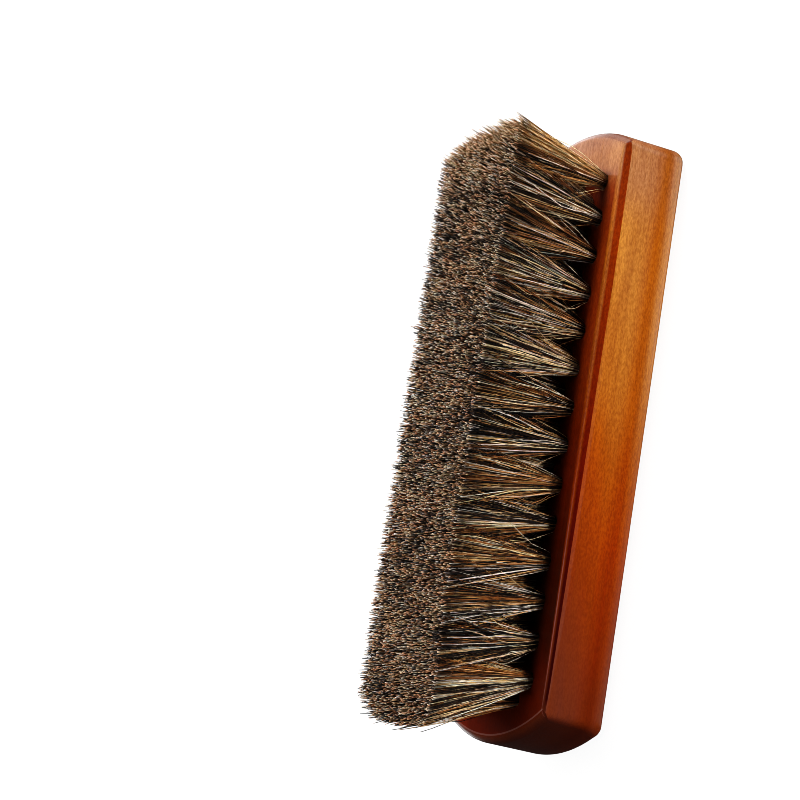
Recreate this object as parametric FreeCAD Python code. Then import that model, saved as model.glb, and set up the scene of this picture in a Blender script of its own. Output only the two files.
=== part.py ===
import FreeCAD, Part
import math
import os
from FreeCAD import Vector

# Shoe shine brush: a lacquered hardwood block drilled with blind holes on one
# face. Every hole holds a tuft of horsehair, folded in half over a short flat
# wire anchor that is driven to the bottom of the hole and bites into the wood.
#
# Frame, in millimetres: the flat back of the block lies in z = 0 with the
# origin at its centre, +X runs along the block and +Z is the way the
# bristles point.

# ---------------------------------------------------------------- dimensions
# wooden block
block_length = 168.2        # over the crowns of the two bowed ends
block_width = 50.0
block_height = 20.3         # back to bristle face
end_rise = 6.0              # how far each end bows out past its corners
back_round_in = 5.6         # rounding of the back along the long sides: reach in from the side...
back_round_up = 9.5         # ...and height at which the side starts to turn in
end_ease_back = 3.4         # rounding of the end edges: round the back...
end_ease_face = 1.8         # ...and where the upright corners meet the bristle face
end_round_in = 2.0          # eased end edge of the bristle face: reach into the face...
end_round_down = 2.8        # ...and down the end
end_facet = 0.45            # narrow facet between that rounding and the face
end_facet_slope = 0.176

# eased long edges of the bristle face: a chamfer, softened towards the face
# by two narrow shallow facets and towards the side by a steep one. All of it
# changes along the block and dies out at the corners. Stations inwards from
# the -X and from the +X corner, as (distance from that corner, leg of the
# chamfer, depth of the inner facets, reach of the outer facet).
chamfer_low = [(0.6, 0.66, 0.05, 0.05), (7.0, 0.96, 0.06, 0.08), (15.0, 1.14, 0.07, 0.13),
               (24.0, 1.29, 0.10, 0.20), (45.0, 1.50, 0.20, 0.22)]
chamfer_high = [(60.0, 1.94, 0.32, 0.18), (40.0, 2.00, 0.36, 0.10), (13.0, 1.86, 0.38, 0.05),
                (3.4, 1.74, 0.38, 0.05), (-0.2, 1.15, 0.28, 0.05), (-2.2, 0.40, 0.12, 0.04)]
facet_slopes = (0.55, 0.27)  # drop over reach of the outer and the inner shallow facet
outer_facet_slope = 4.7      # and of the steep one

# drilling pattern: six rows, every second row shifted by half a pitch to -X
tuft_pitch = 10.42
rows = 6
row_spacing = 6.12
holes_per_row = 14
pattern_offset = -0.1       # middle of rows 1, 3 and 5 along X
hole_radius = 1.75
hole_depth = 12.0

# horsehair tufts
tuft_hole_radius = 1.70     # packed bundle inside its hole
tuft_base_radius = 2.10     # swelling out just above the hole
tuft_tip_radius = 4.05      # fanned out at the trimmed end
tuft_face_gap = 0.05        # swelling to bristle face
bristle_length = 31.2       # trim height above the bristle face
fan_x = 1.05                # tips stand this much further out than the holes
fan_y = 1.08

# flat wire anchors
anchor_length = 4.4         # wider than the hole, so both ends bite
anchor_height = 2.2
anchor_thickness = 0.5
anchor_lift = 1.2           # hair folded under the anchor
anchor_gap = 0.02           # all round, between anchor and wood or hair

os.makedirs("parts", exist_ok=True)


# ------------------------------------------------------------------- helpers
def at_z(edge, z):
    return all(abs(v.Point.z - z) < 1e-6 for v in edge.Vertexes)


def cylinder(radius, height, x, y, z):
    return Part.makeCylinder(radius, height, Vector(x, y, z), Vector(0, 0, 1))


def centred_box(lx, ly, lz, x, y, z):
    return Part.makeBox(lx, ly, lz, Vector(x - lx / 2, y - ly / 2, z))


def polygon(points):
    return Part.makePolygon(points + [points[0]])


# ------------------------------------------------------- ranks across the face
# A rank is one line of holes across the block, three holes in every second
# row. Ranks alternate between rows 2, 4, 6 and rows 1, 3, 5.
ranks = []
first_y = -(rows - 1) * row_spacing / 2
first_x = pattern_offset - (holes_per_row - 1) * tuft_pitch / 2
for i in range(holes_per_row):
    for shift, start in ((-tuft_pitch / 2, 1), (0.0, 0)):
        x = first_x + i * tuft_pitch + shift
        ranks.append([(x, first_y + k * row_spacing) for k in range(start, rows, 2)])

face_z = block_height
hole_floor_z = block_height - hole_depth
anchor_z = hole_floor_z + anchor_lift
tip_z = block_height + bristle_length


# --------------------------------------------------------------- wooden block
half_w = block_width / 2
corner_x = block_length / 2 - end_rise
bow_radius = (half_w ** 2 + end_rise ** 2) / (2 * end_rise)


def back_corner(side):
    # quarter of an ellipse, upright, from the side to the flat back
    centre = Vector(0, side * (half_w - back_round_in), back_round_up)
    start = Vector(0, side * half_w, back_round_up)
    stop = Vector(0, side * (half_w - back_round_in), 0)
    curve = Part.Ellipse(centre + Vector(0, 0, back_round_up), centre + Vector(0, back_round_in, 0), centre)
    u, v = curve.parameter(start), curve.parameter(stop)
    if (v - u) % (2 * math.pi) > math.pi:
        u, v = v, u
    return Part.ArcOfEllipse(curve, u, v).toShape()


def rounded_blank():
    # cross-section with both back corners rounded, run along the block
    low = half_w - back_round_in
    section = Part.Wire([
        Part.LineSegment(Vector(0, -half_w, face_z), Vector(0, -half_w, back_round_up)).toShape(),
        back_corner(-1),
        Part.LineSegment(Vector(0, -low, 0), Vector(0, low, 0)).toShape(),
        back_corner(1),
        Part.LineSegment(Vector(0, half_w, back_round_up), Vector(0, half_w, face_z)).toShape(),
        Part.LineSegment(Vector(0, half_w, face_z), Vector(0, -half_w, face_z)).toShape(),
    ])
    bar = Part.Face(section).extrude(Vector(block_length + 20, 0, 0))
    bar.translate(Vector(-block_length / 2 - 10, 0, 0))

    # bowed ends
    wide = half_w + 3
    sag = bow_radius - math.sqrt(bow_radius ** 2 - wide ** 2)
    edge_x = block_length / 2 - sag
    outline = Part.Wire([
        Part.LineSegment(Vector(-edge_x, -wide, -1), Vector(edge_x, -wide, -1)).toShape(),
        Part.Arc(Vector(edge_x, -wide, -1), Vector(block_length / 2, 0, -1), Vector(edge_x, wide, -1)).toShape(),
        Part.LineSegment(Vector(edge_x, wide, -1), Vector(-edge_x, wide, -1)).toShape(),
        Part.Arc(Vector(-edge_x, wide, -1), Vector(-block_length / 2, 0, -1), Vector(-edge_x, -wide, -1)).toShape(),
    ])
    blank = bar.common(Part.Face(outline).extrude(Vector(0, 0, block_height + 2)))

    # eased end edges, running up both corners and round the back
    doc = FreeCAD.newDocument("block")
    base = doc.addObject("Part::Feature", "Blank")
    base.Shape = blank
    ease = doc.addObject("Part::Fillet", "EndEase")
    ease.Base = base
    radii = []
    for number, edge in enumerate(base.Shape.Edges, start=1):
        ends = [edge.Vertexes[0].Point, edge.Vertexes[-1].Point]
        at_end = all(abs(p.x) > corner_x - 0.01 for p in ends) and ends[0].x * ends[1].x > 0
        if at_end and not at_z(edge, face_z):
            radii.append((number, *[end_ease_face if abs(p.z - face_z) < 1e-6 else end_ease_back for p in ends]))
    ease.Edges = radii
    doc.recompute()
    rounded = ease.Shape.copy()
    FreeCAD.closeDocument(doc.Name)
    if rounded.isNull() or not rounded.isValid():
        raise RuntimeError("the end edges could not be rounded")
    return rounded


def end_edge_cutter(end):
    # waste above the eased edge of a bowed end: turned about the axis of the bow
    r = (end_round_in ** 2 + end_round_down ** 2) / (2 * end_round_in)
    out = bow_radius + 0.02
    cx, cz = out - r, face_z - end_round_down
    middle = Vector(cx + r * math.cos(0.6), 0, cz + r * math.sin(0.6))
    outer = Vector(out, 0, cz)
    # the facet starts on the face and runs out on the rounding
    depth = end_facet * end_facet_slope
    turn = math.acos((end_round_down - depth) / r)
    meet = Vector(cx + r * math.sin(turn), 0, face_z - depth)
    first = Vector(meet.x - end_facet, 0, face_z)
    profile = Part.Wire([
        Part.LineSegment(first, meet).toShape(),
        Part.Arc(meet, middle, outer).toShape(),
        Part.LineSegment(outer, Vector(out + 4, 0, cz)).toShape(),
        Part.LineSegment(Vector(out + 4, 0, cz), Vector(out + 4, 0, face_z + 2)).toShape(),
        Part.LineSegment(Vector(out + 4, 0, face_z + 2), Vector(first.x, 0, face_z + 2)).toShape(),
        Part.LineSegment(Vector(first.x, 0, face_z + 2), first).toShape(),
    ])
    face = Part.Face(profile)
    face.rotate(Vector(0, 0, 0), Vector(0, 0, 1), -40)
    ring = face.revolve(Vector(0, 0, 0), Vector(0, 0, 1), 80)
    if end < 0:
        ring.rotate(Vector(0, 0, 0), Vector(0, 0, 1), 180)
    ring.translate(Vector(end * (block_length / 2 - bow_radius), 0, 0))
    return ring


def long_edge_cutter(side):
    # waste outside the chamfer and its facets, lofted along the edge
    over = 0.6
    stations = [(-corner_x + d, *rest) for d, *rest in chamfer_low]
    stations += [(corner_x - d, *rest) for d, *rest in chamfer_high]
    steep, shallow = facet_slopes
    sections = []
    for x, leg, k, e in stations:
        # (inwards from the side, down from the face)
        first = leg - k
        second = first + k / 2 / steep
        profile = [(-0.1, leg - e + (e + 0.1) * outer_facet_slope), (e, leg - e), (first, k), (second, k / 2),
                   (second + (k / 2 + over) / shallow, -over), (-2.0, -over - 1.0), (-2.0, leg + 1.5)]
        sections.append(polygon([Vector(x, side * (half_w - i), face_z - d) for i, d in profile]))
    return Part.makeLoft(sections, True, True)


def block_blank():
    blank = rounded_blank()
    for end in (-1, 1):
        blank = blank.cut(end_edge_cutter(end))
    for side in (-1, 1):
        blank = blank.cut(long_edge_cutter(side))
    return blank


cutters = []
for rank in ranks:
    for x, y in rank:
        cutters.append(cylinder(hole_radius, hole_depth + 1.0, x, y, hole_floor_z))
        cutters.append(centred_box(anchor_length + 2 * anchor_gap,
                                   anchor_thickness + 2 * anchor_gap,
                                   anchor_height + 2 * anchor_gap,
                                   x, y, anchor_z - anchor_gap))

block = block_blank().cut(Part.makeCompound(cutters))
block = block.removeSplitter()
if len(block.Solids) != 1 or not block.isValid():
    raise RuntimeError("the block is not one valid solid")
block.Solids[0].exportStep("parts/wood_block.step")
print("wood_block", round(block.Volume, 1), len(block.Faces))


# -------------------------------------------------------------- horsehair tufts
def tuft(x, y):
    # fan: a leaning cone trimmed level at the tips
    foot = Vector(x, y, face_z)
    tip = Vector(x * fan_x, y * fan_y, tip_z)
    lean = tip - foot
    run = lean.Length
    lean.normalize()
    past = 3.0
    flare = (tuft_tip_radius - tuft_base_radius) / run
    cone = Part.makeCone(tuft_base_radius - flare * past, tuft_tip_radius + flare * past,
                         run + 2 * past, foot - lean * past, lean)
    low = face_z + tuft_face_gap
    fan = cone.common(centred_box(40.0, 40.0, tip_z - low, x, y, low))
    bundle = cylinder(tuft_hole_radius, hole_depth + 0.95, x, y, hole_floor_z + 0.05)
    solid = fan.fuse(bundle)
    # the hair parts round the anchor and folds under it
    slot = centred_box(anchor_length + 4.0, anchor_thickness + 2 * anchor_gap,
                       anchor_height + 2 * anchor_gap, x, y, anchor_z - anchor_gap)
    solid = solid.cut(slot).removeSplitter()
    if len(solid.Solids) != 1 or not solid.isValid():
        raise RuntimeError("a tuft is not one valid solid")
    return solid.Solids[0]


def anchor(x, y):
    plate = centred_box(anchor_length, anchor_thickness, anchor_height, x, y, anchor_z)
    # the cut ends of the wire are sheared to a slight bevel so they bite
    low_edges = [e for e in plate.Edges
                 if abs(e.CenterOfMass.z - anchor_z) < 1e-6
                 and abs(abs(e.CenterOfMass.x - x) - anchor_length / 2) < 1e-6]
    return plate.makeChamfer(0.4, low_edges)


for number, rank in enumerate(ranks, start=1):
    hair = Part.makeCompound([tuft(x, y) for x, y in rank])
    hair.exportStep("parts/horsehair_tufts_rank_%02d.step" % number)
    wire = Part.makeCompound([anchor(x, y) for x, y in rank])
    wire.exportStep("parts/anchor_wires_rank_%02d.step" % number)
print("ranks", len(ranks), "tufts", sum(len(r) for r in ranks))
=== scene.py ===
import math

import bpy
import numpy as np
from mathutils import Matrix, Vector


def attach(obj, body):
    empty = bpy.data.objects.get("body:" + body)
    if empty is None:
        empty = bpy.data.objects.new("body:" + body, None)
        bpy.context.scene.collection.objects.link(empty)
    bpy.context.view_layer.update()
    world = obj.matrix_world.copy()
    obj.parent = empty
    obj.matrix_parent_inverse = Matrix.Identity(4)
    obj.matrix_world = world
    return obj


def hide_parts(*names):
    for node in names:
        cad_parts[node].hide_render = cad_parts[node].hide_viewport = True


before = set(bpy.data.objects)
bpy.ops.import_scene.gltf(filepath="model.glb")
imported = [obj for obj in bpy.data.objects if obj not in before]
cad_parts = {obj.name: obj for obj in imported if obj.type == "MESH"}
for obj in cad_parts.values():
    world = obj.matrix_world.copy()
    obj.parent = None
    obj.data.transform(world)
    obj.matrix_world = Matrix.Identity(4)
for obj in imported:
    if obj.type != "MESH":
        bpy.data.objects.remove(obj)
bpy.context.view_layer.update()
scene = bpy.context.scene
MM = 0.001

# --------------------------------------------------------------------------
# Camera at the photograph's viewing angle (the picture stands on its side)
# --------------------------------------------------------------------------
cam_data = bpy.data.cameras.new("camera")
cam_data.sensor_fit = "HORIZONTAL"
cam_data.sensor_width = 36.0
cam_data.lens = 155.07
cam_data.clip_start = 0.01
cam_data.clip_end = 50.0
cam = bpy.data.objects.new("camera", cam_data)
scene.collection.objects.link(cam)
cam_right = Vector((0.15479268, -0.45772506, -0.87551528))
cam_up = Vector((0.9651128, -0.11936985, 0.23304102))
cam_back = -Vector((0.21117884, 0.88104405, -0.42327873))
turn = Matrix((cam_right, cam_up, cam_back)).transposed().to_4x4()
cam.matrix_world = Matrix.Translation(Vector((-192.25, -797.27, 445.68)) * MM) @ turn
scene.camera = cam

scene.view_settings.view_transform = "Standard"
scene.view_settings.look = "None"

# print-like response: a soft toe deepens the shadows, white stays white
scene.view_settings.use_curve_mapping = True
response = scene.view_settings.curve_mapping
toe = response.curves[3]
for level, value in ((0.03, 0.016), (0.10, 0.074), (0.30, 0.285), (0.60, 0.605)):
    toe.points.new(level, value)
response.update()
scene.cycles.filter_width = 0.85


# --------------------------------------------------------------------------
# Node helpers
# --------------------------------------------------------------------------
def new_material(name):
    mat = bpy.data.materials.new(name)
    mat.use_nodes = True
    nt = mat.node_tree
    nt.nodes.clear()
    out = nt.nodes.new("ShaderNodeOutputMaterial")
    bsdf = nt.nodes.new("ShaderNodeBsdfPrincipled")
    nt.links.new(bsdf.outputs["BSDF"], out.inputs["Surface"])
    return mat, nt, bsdf


def node(nt, kind, **values):
    n = nt.nodes.new(kind)
    for key, value in values.items():
        setattr(n, key, value)
    return n


def mapped(nt, source, scale, location=(0, 0, 0), rotation=(0, 0, 0)):
    m = node(nt, "ShaderNodeMapping")
    m.inputs["Scale"].default_value = scale
    m.inputs["Location"].default_value = location
    m.inputs["Rotation"].default_value = rotation
    nt.links.new(source, m.inputs["Vector"])
    return m.outputs["Vector"]


def noise(nt, vector, scale, detail=4.0, rough=0.55, distortion=0.0):
    n = node(nt, "ShaderNodeTexNoise")
    n.inputs["Scale"].default_value = scale
    n.inputs["Detail"].default_value = detail
    n.inputs["Roughness"].default_value = rough
    n.inputs["Distortion"].default_value = distortion
    nt.links.new(vector, n.inputs["Vector"])
    return n.outputs["Fac"]


def ramp(nt, fac, stops, smooth=True):
    r = node(nt, "ShaderNodeValToRGB")
    r.color_ramp.interpolation = "EASE" if smooth else "LINEAR"
    el = r.color_ramp.elements
    while len(el) < len(stops):
        el.new(0.5)
    for e, (pos, col) in zip(el, stops):
        e.position = pos
        e.color = (*col, 1.0) if len(col) == 3 else col
    nt.links.new(fac, r.inputs["Fac"])
    return r.outputs["Color"]


def mix_color(nt, fac, a, b, mode="MIX"):
    m = node(nt, "ShaderNodeMix", data_type="RGBA", blend_type=mode, clamp_result=False)
    for socket, value in ((m.inputs[0], fac), (m.inputs[6], a), (m.inputs[7], b)):
        if hasattr(value, "links"):
            nt.links.new(value, socket)
        elif isinstance(value, (int, float)):
            socket.default_value = value
        else:
            socket.default_value = (*value, 1.0)
    return m.outputs[2]


def remap(nt, value, a, b, c, d, smooth=False):
    m = node(nt, "ShaderNodeMapRange")
    m.interpolation_type = "SMOOTHSTEP" if smooth else "LINEAR"
    m.clamp = True
    for key, v in (("From Min", a), ("From Max", b), ("To Min", c), ("To Max", d)):
        m.inputs[key].default_value = v
    nt.links.new(value, m.inputs["Value"])
    return m.outputs["Result"]


def math_node(nt, op, a, b):
    m = node(nt, "ShaderNodeMath", operation=op)
    for socket, value in ((m.inputs[0], a), (m.inputs[1], b)):
        if hasattr(value, "links"):
            nt.links.new(value, socket)
        else:
            socket.default_value = value
    return m.outputs[0]


# --------------------------------------------------------------------------
# Lacquered hardwood
# --------------------------------------------------------------------------
def wood_material():
    mat, nt, bsdf = new_material("lacquered_wood")
    tex = node(nt, "ShaderNodeTexCoord")
    coord = tex.outputs["Object"]
    sep = node(nt, "ShaderNodeSeparateXYZ")
    nt.links.new(coord, sep.inputs[0])
    way = node(nt, "ShaderNodeSeparateXYZ")
    nt.links.new(tex.outputs["Normal"], way.inputs[0])
    # painted shade: mask of the end faces and of the rounded +X rim, which are darkened further down
    painted_end_shade = math_node(nt, "MAXIMUM", remap(nt, way.outputs["X"], -0.40, -0.95, 0.0, 1.0),
                       math_node(nt, "MULTIPLY", remap(nt, way.outputs["X"], 0.10, 0.60, 0.0, 1.0),
                                 remap(nt, way.outputs["Z"], 0.10, 0.35, 0.0, 1.0)))

    # stain: deeper and redder towards the -X end and towards the bristle face, broken up by slow mottling
    mottle = noise(nt, mapped(nt, coord, (14, 60, 60)), 1.0, 3.0, 0.5)
    along = ramp(nt, remap(nt, sep.outputs["X"], -0.075, 0.050, 0.0, 1.0),
                 [(0.0, (1.0,) * 3), (0.173, (0.84,) * 3), (0.348, (0.67,) * 3), (0.524, (0.50,) * 3), (0.70, (0.25,) * 3),
                  (1.0, (0.0,) * 3)], smooth=False)
    shift = remap(nt, mottle, 0.3, 0.7, -0.08, 0.08)
    tone = math_node(nt, "ADD", math_node(nt, "ADD", along, shift), remap(nt, sep.outputs["Z"], 0.0185, 0.0105, 0.0, -0.13))
    base_colour = ramp(nt, tone, [(0.0, (0.55, 0.213, 0.037)), (0.12, (0.50, 0.180, 0.027)), (0.25, (0.45, 0.140, 0.016)),
                            (0.37, (0.41, 0.098, 0.005)), (0.50, (0.355, 0.062, 0.002)), (0.67, (0.255, 0.041, 0.002)),
                            (0.75, (0.23, 0.039, 0.005)), (0.84, (0.182, 0.034, 0.009)), (1.0, (0.140, 0.033, 0.015))], smooth=False)
    # painted sheen: the wood turns paler and milkier towards the +X end, paler still on the +X rim
    painted_sheen = remap(nt, sep.outputs["X"], 0.052, 0.070, 0.0, 0.85, smooth=True)
    base_colour = mix_color(nt, painted_sheen, base_colour, (0.43, 0.187, 0.082))
    base_colour = mix_color(nt, remap(nt, sep.outputs["X"], 0.075, 0.081, 0.0, 0.8, smooth=True), base_colour, (0.35, 0.170, 0.105))

    # growth bands and fine fibres, both running the length of the block
    bands = noise(nt, mapped(nt, coord, (5, 95, 130), (0.3, 0.1, 0.7)), 1.0, 3.0, 0.55, 0.6)
    base_colour = mix_color(nt, remap(nt, bands, 0.42, 0.72, 0.0, 0.36), base_colour, (0.17, 0.030, 0.003))
    # painted shade: a darker, more saturated band low on the sides where the back rounding begins, and a more saturated
    # colour near the back edge, painted to hold down the sheen there
    painted_dark_band = math_node(nt, "MULTIPLY", remap(nt, sep.outputs["Z"], 0.0122, 0.0068, 0.0, 1.0, smooth=True),
                        remap(nt, sep.outputs["Z"], 0.0036, 0.0066, 0.0, 1.0, smooth=True))
    base_colour = mix_color(nt, painted_dark_band, base_colour, (0.81, 0.57, 0.20), "MULTIPLY")
    base_colour = mix_color(nt, remap(nt, sep.outputs["Z"], 0.0048, 0.0026, 0.0, 1.0, smooth=True), base_colour, (0.94, 0.87, 0.50), "MULTIPLY")
    fibre = noise(nt, mapped(nt, coord, (42, 900, 900)), 1.0, 5.0, 0.65)
    base_colour = mix_color(nt, remap(nt, fibre, 0.35, 0.75, 0.0, 0.46), base_colour, (0.19, 0.040, 0.003))
    light_fibre = noise(nt, mapped(nt, coord, (60, 1300, 1300), (0.2, 0.4, 0.1)), 1.0, 3.0, 0.6)
    pale = math_node(nt, "MULTIPLY", remap(nt, light_fibre, 0.55, 0.8, 0.0, 0.22), remap(nt, tone, 0.2, 0.8, 1.0, 0.1))
    base_colour = mix_color(nt, pale, base_colour, (0.52, 0.18, 0.014))

    # flecks: the short cells of the wood, light and dark
    flecks = noise(nt, mapped(nt, coord, (900, 2200, 2200), (0.5, 0.2, 0.9)), 1.0, 2.0, 0.6)
    base_colour = mix_color(nt, remap(nt, tone, 0.4, 0.9, 1.0, 0.45), base_colour, ramp(nt, flecks, [(0.30, (0.80, 0.75, 0.70)), (0.70, (1.18, 1.23, 1.26))]), "MULTIPLY")

    # pores: short dark dashes
    pore_v = node(nt, "ShaderNodeTexVoronoi", feature="F1")
    pore_v.inputs["Scale"].default_value = 1.0
    nt.links.new(mapped(nt, coord, (170, 1500, 1500)), pore_v.inputs["Vector"])
    pores = remap(nt, pore_v.outputs["Distance"], 0.05, 0.22, 1.0, 0.0)
    base_colour = mix_color(nt, math_node(nt, "MULTIPLY", pores, 0.30), base_colour, (0.09, 0.015, 0.003))

    # painted shade: the chamfers of the long edges and the end faces are darkened, the chamfer paint fading out at the
    # -X corner
    aside = math_node(nt, "ABSOLUTE", sep.outputs["Y"], 0.0)
    reach = math_node(nt, "SUBTRACT", remap(nt, sep.outputs["X"], -0.074, 0.022, 0.0010, 0.00185),
                      remap(nt, sep.outputs["X"], 0.074, 0.083, 0.0, 0.0010))
    inwards = math_node(nt, "SUBTRACT", math_node(nt, "SUBTRACT", 0.025, aside), reach)
    chamfer = math_node(nt, "MULTIPLY", remap(nt, inwards, -0.00065, 0.0, 1.0, 0.0, smooth=True),
                        remap(nt, way.outputs["Z"], 0.30, 0.42, 0.0, 1.0))
    chamfer = math_node(nt, "MULTIPLY", chamfer, remap(nt, sep.outputs["X"], -0.0785, -0.0735, 0.15, 1.0))
    painted_chamfer_shade = ramp(nt, remap(nt, sep.outputs["X"], -0.075, 0.030, 0.0, 1.0), [(0.0, (0.27, 0.035, 0.012)), (1.0, (0.58, 0.21, 0.03))])
    base_colour = mix_color(nt, chamfer, base_colour, painted_chamfer_shade, "MULTIPLY")
    base_colour = mix_color(nt, painted_end_shade, base_colour, (0.56, 0.46, 0.50), "MULTIPLY")

    # drilled face: stained redder away from the +X end, its eased facets near the +X end redder too; the darkening of
    # the face beside the tufts is partly painted shade of the tufts, and a narrow pale ridge along the chamfer is left
    # out of it
    face = remap(nt, way.outputs["Z"], 0.968, 0.984, 0.0, 1.0)
    eased = math_node(nt, "MULTIPLY", remap(nt, way.outputs["Z"], 0.78, 0.86, 0.0, 1.0),
                      remap(nt, sep.outputs["X"], 0.0720, 0.0600, 0.0, 1.0, smooth=True))
    base_colour = mix_color(nt, eased, base_colour, (0.98, 0.76, 0.50), "MULTIPLY")
    pale_ridge_width = remap(nt, sep.outputs["X"], -0.060, 0.050, 0.0007, 0.0020)
    red = math_node(nt, "MULTIPLY", face, remap(nt, sep.outputs["X"], 0.0745, 0.0630, 0.0, 1.0, smooth=True))
    red = math_node(nt, "MULTIPLY", red, remap(nt, math_node(nt, "DIVIDE", inwards, pale_ridge_width), 0.25, 1.0, 0.0, 1.0, smooth=True))
    redder_and_shaded = ramp(nt, remap(nt, sep.outputs["X"], -0.075, 0.065, 0.0, 1.0),
                [(0.0, (1.00, 0.58, 0.40)), (0.12, (0.40, 0.30, 0.28)), (0.24, (0.31, 0.24, 0.20)), (0.46, (0.48, 0.30, 0.20)),
                 (0.60, (0.64, 0.39, 0.25)), (0.75, (0.80, 0.42, 0.30)), (1.0, (0.64, 0.32, 0.25))], smooth=False)
    base_colour = mix_color(nt, red, base_colour, redder_and_shaded, "MULTIPLY")
    # painted highlight: a thin pale line along the inner crease of the chamfer towards the -X end
    crease = math_node(nt, "MULTIPLY", remap(nt, math_node(nt, "ABSOLUTE", inwards, 0.0), 0.0, 0.00018, 1.0, 0.0),
                       remap(nt, sep.outputs["X"], -0.012, -0.045, 0.0, 0.75))
    crease = math_node(nt, "MULTIPLY", crease, remap(nt, way.outputs["Z"], 0.5, 0.6, 0.0, 1.0))
    crease = math_node(nt, "MULTIPLY", crease, remap(nt, sep.outputs["X"], -0.0790, -0.0765, 0.0, 1.0))
    base_colour = mix_color(nt, crease, base_colour, (0.34, 0.125, 0.110))
    # painted highlight: a thin pale line along the edge of the bristle face at the -X end
    edge = math_node(nt, "ABSOLUTE", math_node(nt, "SUBTRACT", way.outputs["Z"], 0.970), 0.0)
    edge = math_node(nt, "MULTIPLY", remap(nt, edge, 0.0, 0.024, 0.85, 0.0), remap(nt, way.outputs["X"], -0.08, -0.16, 0.0, 1.0))
    base_colour = mix_color(nt, edge, base_colour, (0.46, 0.27, 0.23))
    # painted shade: the face darkened in the field of tufts and just around it
    from_rows = math_node(nt, "SUBTRACT", aside, 0.0153)
    middle = math_node(nt, "ABSOLUTE", math_node(nt, "ADD", sep.outputs["X"], 0.0010), 0.0)
    from_ends = math_node(nt, "MULTIPLY", math_node(nt, "SUBTRACT", middle, 0.0700), 1.8)
    from_field = math_node(nt, "MAXIMUM", from_rows, from_ends)
    painted_tuft_shade = math_node(nt, "MULTIPLY", face, remap(nt, from_field, 0.0, 0.0048, 1.0, 0.0, smooth=True))
    base_colour = mix_color(nt, painted_tuft_shade, base_colour, (0.40, 0.30, 0.26), "MULTIPLY")

    nt.links.new(base_colour, bsdf.inputs["Base Color"])
    nt.links.new(remap(nt, fibre, 0.3, 0.7, 0.36, 0.46), bsdf.inputs["Roughness"])
    bsdf.inputs["Specular IOR Level"].default_value = 0.05
    bsdf.inputs["Coat Weight"].default_value = 0.5
    bsdf.inputs["Coat Roughness"].default_value = 0.19
    bsdf.inputs["Coat IOR"].default_value = 1.5

    # the lacquer rounds the crease lines
    soft_edge = node(nt, "ShaderNodeBevel", samples=6)
    nt.links.new(remap(nt, sep.outputs["X"], -0.060, 0.010, 0.0005, 0.0013), soft_edge.inputs["Radius"])
    bump = node(nt, "ShaderNodeBump")
    bump.inputs["Strength"].default_value = 0.12
    bump.inputs["Distance"].default_value = 0.00008
    nt.links.new(fibre, bump.inputs["Height"])
    nt.links.new(soft_edge.outputs["Normal"], bump.inputs["Normal"])
    nt.links.new(bump.outputs["Normal"], bsdf.inputs["Normal"])
    return mat


# --------------------------------------------------------------------------
# Anchor wire: drawn steel with a faint lengthwise grain
# --------------------------------------------------------------------------
def wire_material():
    mat, nt, bsdf = new_material("drawn_wire")
    coord = node(nt, "ShaderNodeTexCoord").outputs["Object"]
    lines = noise(nt, mapped(nt, coord, (200, 9000, 9000)), 1.0, 3.0, 0.6)
    nt.links.new(ramp(nt, lines, [(0.3, (0.46, 0.44, 0.40)), (0.7, (0.70, 0.68, 0.64))]), bsdf.inputs["Base Color"])
    nt.links.new(remap(nt, lines, 0.3, 0.7, 0.28, 0.42), bsdf.inputs["Roughness"])
    bsdf.inputs["Metallic"].default_value = 1.0
    return mat


# --------------------------------------------------------------------------
# Horsehair: colour per hair, with painted glints and shade along it
# --------------------------------------------------------------------------
def hair_material():
    mat, nt, bsdf = new_material("horsehair")
    col = node(nt, "ShaderNodeVertexColor", layer_name="hair_colour")
    coord = node(nt, "ShaderNodeTexCoord").outputs["Object"]
    painted_glints = noise(nt, mapped(nt, coord, (1400, 1400, 420)), 1.0, 2.0, 0.5)
    shade = ramp(nt, painted_glints, [(0.30, (0.64, 0.64, 0.64)), (0.70, (1.32, 1.32, 1.32))])
    nt.links.new(mix_color(nt, 1.0, col.outputs["Color"], shade, "MULTIPLY"), bsdf.inputs["Base Color"])
    bsdf.inputs["Roughness"].default_value = 0.32
    bsdf.inputs["Specular IOR Level"].default_value = 0.40
    return mat


wood = wood_material()
wire = wire_material()
hair_mat = hair_material()

for name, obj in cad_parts.items():
    mat = wood if name == "wood_block" else wire if name.startswith("anchor") else hair_mat
    obj.data.materials.clear()
    obj.data.materials.append(mat)

# --------------------------------------------------------------------------
# Horsehair tufts, hair by hair
# --------------------------------------------------------------------------
FACE_Z = 20.3
HAIR = 31.2
SUNK = 2.2
PITCH, ROWS, ROW_GAP, PER_ROW, OFFSET = 10.42, 6, 6.12, 14, -0.1
TIPS_PER_MM2 = 3.8
STEPS = np.array([0.0, 0.11, 0.23, 0.36, 0.50, 0.64, 0.78, 0.90, 0.975, 1.0])
RINGS, SIDES = len(STEPS), 4
rng = np.random.default_rng(20)

# outline of the trimmed tips, seen along the hairs
TIP_FIELD = np.array([
    (76.2, -22.6), (60.0, -21.9), (35.0, -21.1), (0.0, -20.9), (-35.0, -21.2), (-60.0, -22.0), (-80.0, -23.2), (-85.6, -21.6),
    (-86.4, -6.8), (-83.0, 11.8), (-76.6, 20.6), (-40.0, 21.4), (0.0, 21.2), (40.0, 21.3), (72.4, 21.4),
    (76.0, 9.0), (77.4, -9.0)])

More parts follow.
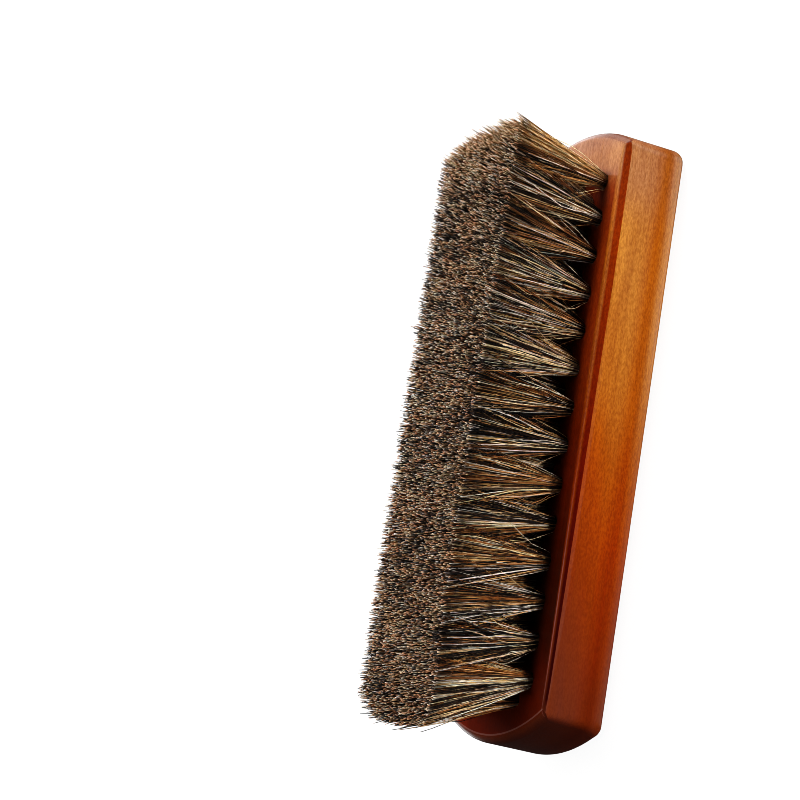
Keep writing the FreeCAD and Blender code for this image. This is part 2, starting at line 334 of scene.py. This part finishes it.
# natural mixture of tail hair: black, dark brown, chestnut, tan, grey, straw, white
TONES = np.array([
    (0.006, 0.005, 0.005),
    (0.030, 0.017, 0.011),
    (0.220, 0.085, 0.026),
    (0.430, 0.230, 0.090),
    (0.500, 0.450, 0.390),
    (0.700, 0.520, 0.300),
    (0.860, 0.770, 0.640),
])
MIX = np.array([0.29, 0.16, 0.170, 0.138, 0.045, 0.125, 0.072])


def unit(v):
    return v / np.maximum(np.linalg.norm(v, axis=-1, keepdims=True), 1e-12)


def inside(points, polygon):
    hit = np.zeros(len(points), bool)
    x, y = points[:, 0], points[:, 1]
    for (x1, y1), (x2, y2) in zip(polygon, np.roll(polygon, -1, axis=0)):
        crosses = (y1 > y) != (y2 > y)
        hit ^= crosses & (x < (x2 - x1) * (y - y1) / (y2 - y1 + 1e-12) + x1)
    return hit


# holes, rank by rank
first_y = -(ROWS - 1) * ROW_GAP / 2
first_x = OFFSET - (PER_ROW - 1) * PITCH / 2
holes, hole_rank = [], []
for a in range(PER_ROW):
    for half, (shift, start) in enumerate(((-PITCH / 2, 1), (0.0, 0))):
        for b in range(start, ROWS, 2):
            holes.append((first_x + a * PITCH + shift, first_y + b * ROW_GAP))
            hole_rank.append(2 * a + half + 1)
holes, hole_rank = np.array(holes), np.array(hole_rank)

# where the middle of every tuft ends up: fanned out, a little unevenly
centres = np.stack([holes[:, 0] + np.clip(-2.3 + 0.105 * holes[:, 0], -9.0, 4.5) + rng.normal(0, 0.5, len(holes)),
                    holes[:, 1] * 1.12 + rng.normal(0, 0.35, len(holes))], 1)

# evenly scattered tips, shared out to the tufts so that neighbouring fans cross
step = 1 / math.sqrt(TIPS_PER_MM2)
gx, gy = np.meshgrid(np.arange(-92, 84, step), np.arange(-27, 26, step), indexing="ij")
tips = np.stack([gx.ravel(), gy.ravel()], 1)
tips += rng.uniform(-0.5, 0.5, tips.shape) * step
tips = tips[inside(tips, TIP_FIELD)]
sway = tips + rng.normal(0, 1, tips.shape) * (2.3, 1.5)
owner = np.argmin(((sway[:, None, :] - centres[None]) ** 2).sum(2), 1)
tips += rng.normal(0, 0.25, tips.shape)


def tones_for(count, bias):
    mix = MIX * np.exp(bias)
    return rng.choice(len(MIX), count, p=mix / mix.sum())


def hair_curves(root, tip, top, bend, exponent):
    """Centre lines (n, RINGS, 3) from root in the hole to the tip, gently bent."""
    n = len(root)
    t = STEPS
    lateral = t[None] ** exponent[:, None]
    phase = rng.random(n) * 2 * np.pi
    freq = 0.9 + rng.random(n) * 1.4
    swing = np.sin(np.pi * freq[:, None] * t[None] + phase[:, None]) - np.sin(phase)[:, None]
    swing *= bend[:, None] * np.minimum(1, t * 2.0)[None]
    ang = rng.random(n) * 2 * np.pi
    px = root[:, 0:1] + (tip - root)[:, 0:1] * lateral + swing * np.cos(ang)[:, None]
    py = root[:, 1:2] + (tip - root)[:, 1:2] * lateral + swing * np.sin(ang)[:, None]
    pz = FACE_Z - SUNK + (top + SUNK)[:, None] * t[None]
    return np.stack([px, py, np.broadcast_to(pz, px.shape)], 2)


def tuft(k):
    """Centre lines, radii and colours of the hairs of hole k, in mm."""
    x0, y0 = holes[k]
    tip = tips[owner == k]
    n = len(tip)
    out = (tip - centres[k]) / (6.4, 5.0)
    out /= np.maximum(1.0, np.linalg.norm(out, axis=1))[:, None]
    disc = out * 0.8 + rng.normal(0, 0.22, (n, 2))
    disc /= np.maximum(1.0, np.linalg.norm(disc, axis=1))[:, None]
    root = holes[k] + disc * 1.5

    # trimmed level but ragged, some hairs broken shorter
    top = HAIR + rng.normal(-0.20, 0.34, n)
    short = rng.random(n) < 0.18
    top[short] -= rng.random(short.sum()) * 4.5
    bend = np.abs(rng.normal(0, 0.48, n))
    bend[rng.random(n) < 0.12] *= 2.4
    points = hair_curves(root, tip, np.minimum(top, HAIR + 0.9), bend, 0.88 + rng.random(n) * 0.34)
    thick = rng.uniform(0.078, 0.130, n)

    # strands: neighbours that cling together share a tone
    strands = 30
    seat = disc[rng.integers(0, n, strands)]
    strand = np.argmin(((disc[:, None, :] - seat[None]) ** 2).sum(2), 1)
    bias = rng.normal(0, 0.22, len(MIX))
    # the +X end tufts lean to lighter tones, partly painted light; the tufts towards -X lean to redder tones
    if x0 > 60:
        bias += np.array([-0.9, -0.3, 0.1, 0.7, 0.2, 0.5, 0.3])
    elif x0 < -15:
        bias += np.array([0.0, 0.05, 0.12, 0.15, -0.3, 0.0, -0.2])
    tone = np.where(rng.random(n) < 0.42, tones_for(strands, bias)[strand], tones_for(n, bias))

    # the outermost hairs at the +X end get tan and straw tones, partly painted light on their side that faces away from
    # the lamps
    outer = tip[:, 0] > 71.5
    tone[outer] = rng.choice([2, 3, 3, 3, 5, 5], outer.sum())

    # strays: thin pale hairs that bow out across the gaps, most of them along the long sides
    m = 3 + 9 * (abs(y0) > 15.0)
    way = rng.normal(0, 1, (m, 2)) * (5.5, 2.2) + (0, -0.8 if y0 < 0 else 0.8)
    if abs(x0) > 62:
        way[:, 0] = -np.sign(x0) * np.abs(way[:, 0])
    stray_root = holes[k] + unit(way) * 1.3
    stray_top = HAIR * rng.uniform(0.50, 0.92, m)
    stray_tip = holes[k] + (centres[k] - holes[k]) * (stray_top / HAIR)[:, None] + way
    sweep = rng.uniform(0.5, 2.2, m) * (0.35 if abs(x0) > 58 else 1.0)
    stray = hair_curves(stray_root, stray_tip, stray_top, sweep, rng.uniform(0.8, 1.3, m))
    points = np.concatenate([points, stray])
    thick = np.concatenate([thick, rng.uniform(0.050, 0.075, m)])
    tone = np.concatenate([tone, rng.choice([3, 5, 5, 6], m)])

    n = len(tone)
    colour = TONES[tone] * rng.uniform(0.73, 1.51, (n, 1)) * rng.uniform(0.93, 1.07, (n, 3))
    # painted light: hairs made lighter towards the -X end, more in the outer rows
    colour *= 1 + (0.30 if abs(y0) > 12 else 0.15) * np.clip((20 - x0) / 80, 0, 1)
    radius = thick[:, None] * np.ones(RINGS)[None]
    radius[:, -1] *= 0.75
    colour *= np.minimum(1.0, 0.88 / colour.max(1, keepdims=True))
    return points, radius, np.maximum(colour, 0.003)


def hair_mesh(name, points, radius, colour):
    """Closed thin tubes along the centre lines, one shared mesh, with a bake map patch per hair."""
    n = len(points)
    tangent = unit(np.gradient(points, axis=1))
    roll = rng.random(n) * 2 * np.pi
    ref = np.stack([np.cos(roll), np.sin(roll), np.zeros(n)], 1)[:, None, :]
    u = unit(np.cross(tangent, np.broadcast_to(ref, tangent.shape)))
    v = np.cross(tangent, u)
    ang = np.arange(SIDES) * 2 * np.pi / SIDES
    ring = (u[:, :, None, :] * np.cos(ang)[None, None, :, None]
            + v[:, :, None, :] * np.sin(ang)[None, None, :, None])
    verts = points[:, :, None, :] + ring * radius[:, :, None, None]
    verts = verts.reshape(-1, 3) * MM

    def vid(i, k, s):
        return (i * RINGS + k) * SIDES + s % SIDES

    i, k, s = np.meshgrid(np.arange(n), np.arange(RINGS - 1), np.arange(SIDES), indexing="ij")
    quads = np.stack([vid(i, k, s), vid(i, k, s + 1), vid(i, k + 1, s + 1), vid(i, k + 1, s)], -1).reshape(-1, 4)
    hi = np.arange(n)
    tips = np.stack([vid(hi, RINGS - 1, c) for c in range(SIDES)], -1)
    roots = np.stack([vid(hi, 0, c) for c in reversed(range(SIDES))], -1)

    grid = int(math.ceil(math.sqrt(n)))
    cell = 1.0 / grid
    ox, oy = (np.arange(n) % grid) * cell, (np.arange(n) // grid) * cell
    pad = cell * 0.06
    inner = cell - 2 * pad
    u0 = ox[i] + pad + inner * (s / SIDES)
    u1 = ox[i] + pad + inner * ((s + 1) / SIDES)
    v0 = oy[i] + pad + inner * 0.86 * (k / (RINGS - 1))
    v1 = oy[i] + pad + inner * 0.86 * ((k + 1) / (RINGS - 1))
    quad_uv = np.stack([np.stack([u0, v0], -1), np.stack([u1, v0], -1),
                        np.stack([u1, v1], -1), np.stack([u0, v1], -1)], -2).reshape(-1, 2)

    def cap_uv(start):
        corners = [(start, 0.90), (start + 0.42, 0.90), (start + 0.42, 1.0), (start, 1.0)]
        return np.stack([np.stack([ox + pad + inner * cu, oy + pad + inner * cv], -1) for cu, cv in corners], 1).reshape(-1, 2)

    loops = np.concatenate([quads.ravel(), tips.ravel(), roots.ravel()]).astype(np.int32)
    uvs = np.concatenate([quad_uv, cap_uv(0.04), cap_uv(0.54)]).astype(np.float32)
    sizes = np.full(len(quads) + 2 * n, 4)
    starts = np.concatenate([[0], np.cumsum(sizes)[:-1]]).astype(np.int32)

    mesh = bpy.data.meshes.new(name)
    mesh.vertices.add(len(verts))
    mesh.vertices.foreach_set("co", verts.astype(np.float32).ravel())
    mesh.loops.add(len(loops))
    mesh.loops.foreach_set("vertex_index", loops)
    mesh.polygons.add(len(sizes))
    mesh.polygons.foreach_set("loop_start", starts)
    mesh.polygons.foreach_set("use_smooth", np.ones(len(sizes), bool))
    mesh.update(calc_edges=True)
    uv = mesh.uv_layers.new(name="OFBake")
    uv.data.foreach_set("uv", uvs.ravel())
    attr = mesh.color_attributes.new("hair_colour", "FLOAT_COLOR", "POINT")
    rgba = np.ones((n, RINGS * SIDES, 4), np.float32)
    # painted shade: each hair darker towards its root and just below its tip; painted highlight: the tip ring brighter
    # and greyer
    painted_light_along = 0.30 + 0.70 * np.clip((STEPS - 0.05) / 0.22, 0, 1)
    painted_light_along[-3:] *= (0.62, 0.32, 3.50)
    shaded = colour[:, None, :] * np.repeat(painted_light_along, SIDES)[None, :, None]
    shaded *= np.minimum(1.0, 0.88 / shaded.max(2, keepdims=True))
    ends = shaded[:, -SIDES:]
    shaded[:, -SIDES:] = 0.66 * ends + 0.34 * ends.mean(2, keepdims=True) * (1.06, 1.02, 0.95)
    rgba[:, :, :3] = np.maximum(shaded, 0.002)
    attr.data.foreach_set("color", rgba.ravel())
    mesh.materials.append(hair_mat)
    mesh.validate()
    obj = bpy.data.objects.new(name, mesh)
    scene.collection.objects.link(obj)
    return obj


for rank_no in range(1, 2 * PER_ROW + 1):
    sets = [tuft(k) for k in np.flatnonzero(hole_rank == rank_no)]
    points, radius, colour = (np.concatenate(parts) for parts in zip(*sets))
    piece = hair_mesh("horsehair_rank_%02d" % rank_no, points, radius, colour)
    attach(piece, "root")
    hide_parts("horsehair_tufts_rank_%02d" % rank_no)

# --------------------------------------------------------------------------
# Studio: white floor and backdrop that only the camera sees, soft lights all round
# --------------------------------------------------------------------------
def stage_object(name, verts, faces, diffuse, glow):
    mesh = bpy.data.meshes.new(name)
    mesh.from_pydata(verts, [], faces)
    obj = bpy.data.objects.new(name, mesh)
    scene.collection.objects.link(obj)
    mat, nt, bsdf = new_material(name)
    bsdf.inputs["Base Color"].default_value = (diffuse, diffuse, diffuse, 1)
    bsdf.inputs["Roughness"].default_value = 0.9
    bsdf.inputs["Specular IOR Level"].default_value = 0.0
    bsdf.inputs["Emission Color"].default_value = (1, 1, 1, 1)
    bsdf.inputs["Emission Strength"].default_value = glow
    mesh.materials.append(mat)
    obj.visible_diffuse = obj.visible_glossy = obj.visible_transmission = obj.visible_shadow = False
    return obj


stage_object("floor", [(-3, -3, -0.0002), (3, -3, -0.0002), (3, 3, -0.0002), (-3, 3, -0.0002)], [(0, 1, 2, 3)], 0.10, 0.94)
around = [(2.9 * math.cos(i * math.pi / 16), 2.9 * math.sin(i * math.pi / 16)) for i in range(32)]
stage_object("backdrop", [(x, y, z) for z in (-0.01, 4.0) for x, y in around],
             [(i, (i + 1) % 32, 32 + (i + 1) % 32, 32 + i) for i in range(32)], 0.2, 1.0)


def area_light(name, location, target, size, size_y, power, diffuse=True, glossy=True):
    """Rectangle light facing the target, its first side as near to the X axis as it can be."""
    data = bpy.data.lights.new(name, "AREA")
    data.shape = "RECTANGLE"
    data.size, data.size_y = size, size_y
    data.energy = power
    obj = bpy.data.objects.new(name, data)
    scene.collection.objects.link(obj)
    loc = Vector(location)
    away = (loc - Vector(target)).normalized()
    first = Vector((0, 1, 0)) if abs(away.x) > 0.9 else Vector((1, 0, 0))
    first = (first - away * first.dot(away)).normalized()
    obj.matrix_world = Matrix.Translation(loc) @ Matrix((first, away.cross(first), away)).transposed().to_4x4()
    obj.visible_camera = False
    obj.visible_diffuse, obj.visible_glossy = diffuse, glossy
    data.cycles.use_multiple_importance_sampling = glossy
    return obj


# broad light on the hair and the wood
area_light("key_end", (0.95, 0.20, 0.50), (0, 0, 0.03), 0.45, 0.45, 16)
area_light("soft_back", (0.25, 0.92, 0.62), (0, 0, 0.03), 0.70, 0.50, 12, glossy=False)
area_light("soft_low", (0.28, -1.00, -0.42), (0, 0, 0.02), 0.80, 0.45, 16.0, glossy=False)
area_light("soft_top", (0.05, -0.25, 1.10), (0, 0, 0.05), 0.60, 0.60, 5, glossy=False)
area_light("soft_end", (-0.80, -0.35, 0.45), (-0.05, 0, 0.03), 0.40, 0.40, 2.5, glossy=False)
# weak cards that only show as sheen in the lacquer
area_light("sheen_side", (0.36, -0.62, -0.29), (0.14, 0, 0.01), 0.30, 0.30, 0.25, diffuse=False)
area_light("sheen_corner", (0.62, -0.48, -0.32), (0.10, 0, 0.01), 0.36, 0.30, 0.75, diffuse=False)
area_light("sheen_face", (0.50, 0.92, 0.22), (0.20, 0, 0.02), 0.42, 0.60, 1.3, diffuse=False)
area_light("sheen_under", (0.42, 0.00, -0.72), (0.22, 0, 0.01), 0.46, 0.58, 1.20, diffuse=False)
area_light("sheen_low", (0.06, 0.04, -0.72), (0.00, 0, 0.01), 0.22, 0.50, 0.12, diffuse=False)
area_light("sheen_top", (0.44, 0.12, 1.00), (0.24, -0.02, 0.02), 0.38, 0.60, 1.3, diffuse=False)
area_light("sheen_mid", (0.21, 0.04, 1.00), (0.10, -0.02, 0.02), 0.08, 0.44, 0.11, diffuse=False)
area_light("sheen_rim", (0.12, -0.03, 1.00), (0.00, -0.02, 0.02), 0.065, 0.30, 0.30, diffuse=False)
area_light("sheen_end", (-0.03, 0.94, 0.55), (-0.08, 0, 0.02), 0.08, 0.45, 0.02, diffuse=False)
area_light("sheen_round", (0.54, 0.92, -0.12), (0.08, 0, 0.02), 0.42, 0.36, 0.70, diffuse=False)
area_light("sheen_shoulder", (0.78, 0.70, 0.08), (0.08, 0, 0.02), 0.50, 0.45, 0.60, diffuse=False)
area_light("sheen_foot", (-0.20, 0.98, -0.12), (-0.08, 0, 0.01), 0.20, 0.32, 0.42, diffuse=False)
area_light("sheen_front", (0.13, -0.95, -0.03), (-0.02, -0.02, 0.02), 0.20, 0.12, 0.12, diffuse=False)

world = bpy.data.worlds.new("studio")
scene.world = world
world.use_nodes = True
world.node_tree.nodes["Background"].inputs["Color"].default_value = (1, 1, 1, 1)
world.node_tree.nodes["Background"].inputs["Strength"].default_value = 0.04
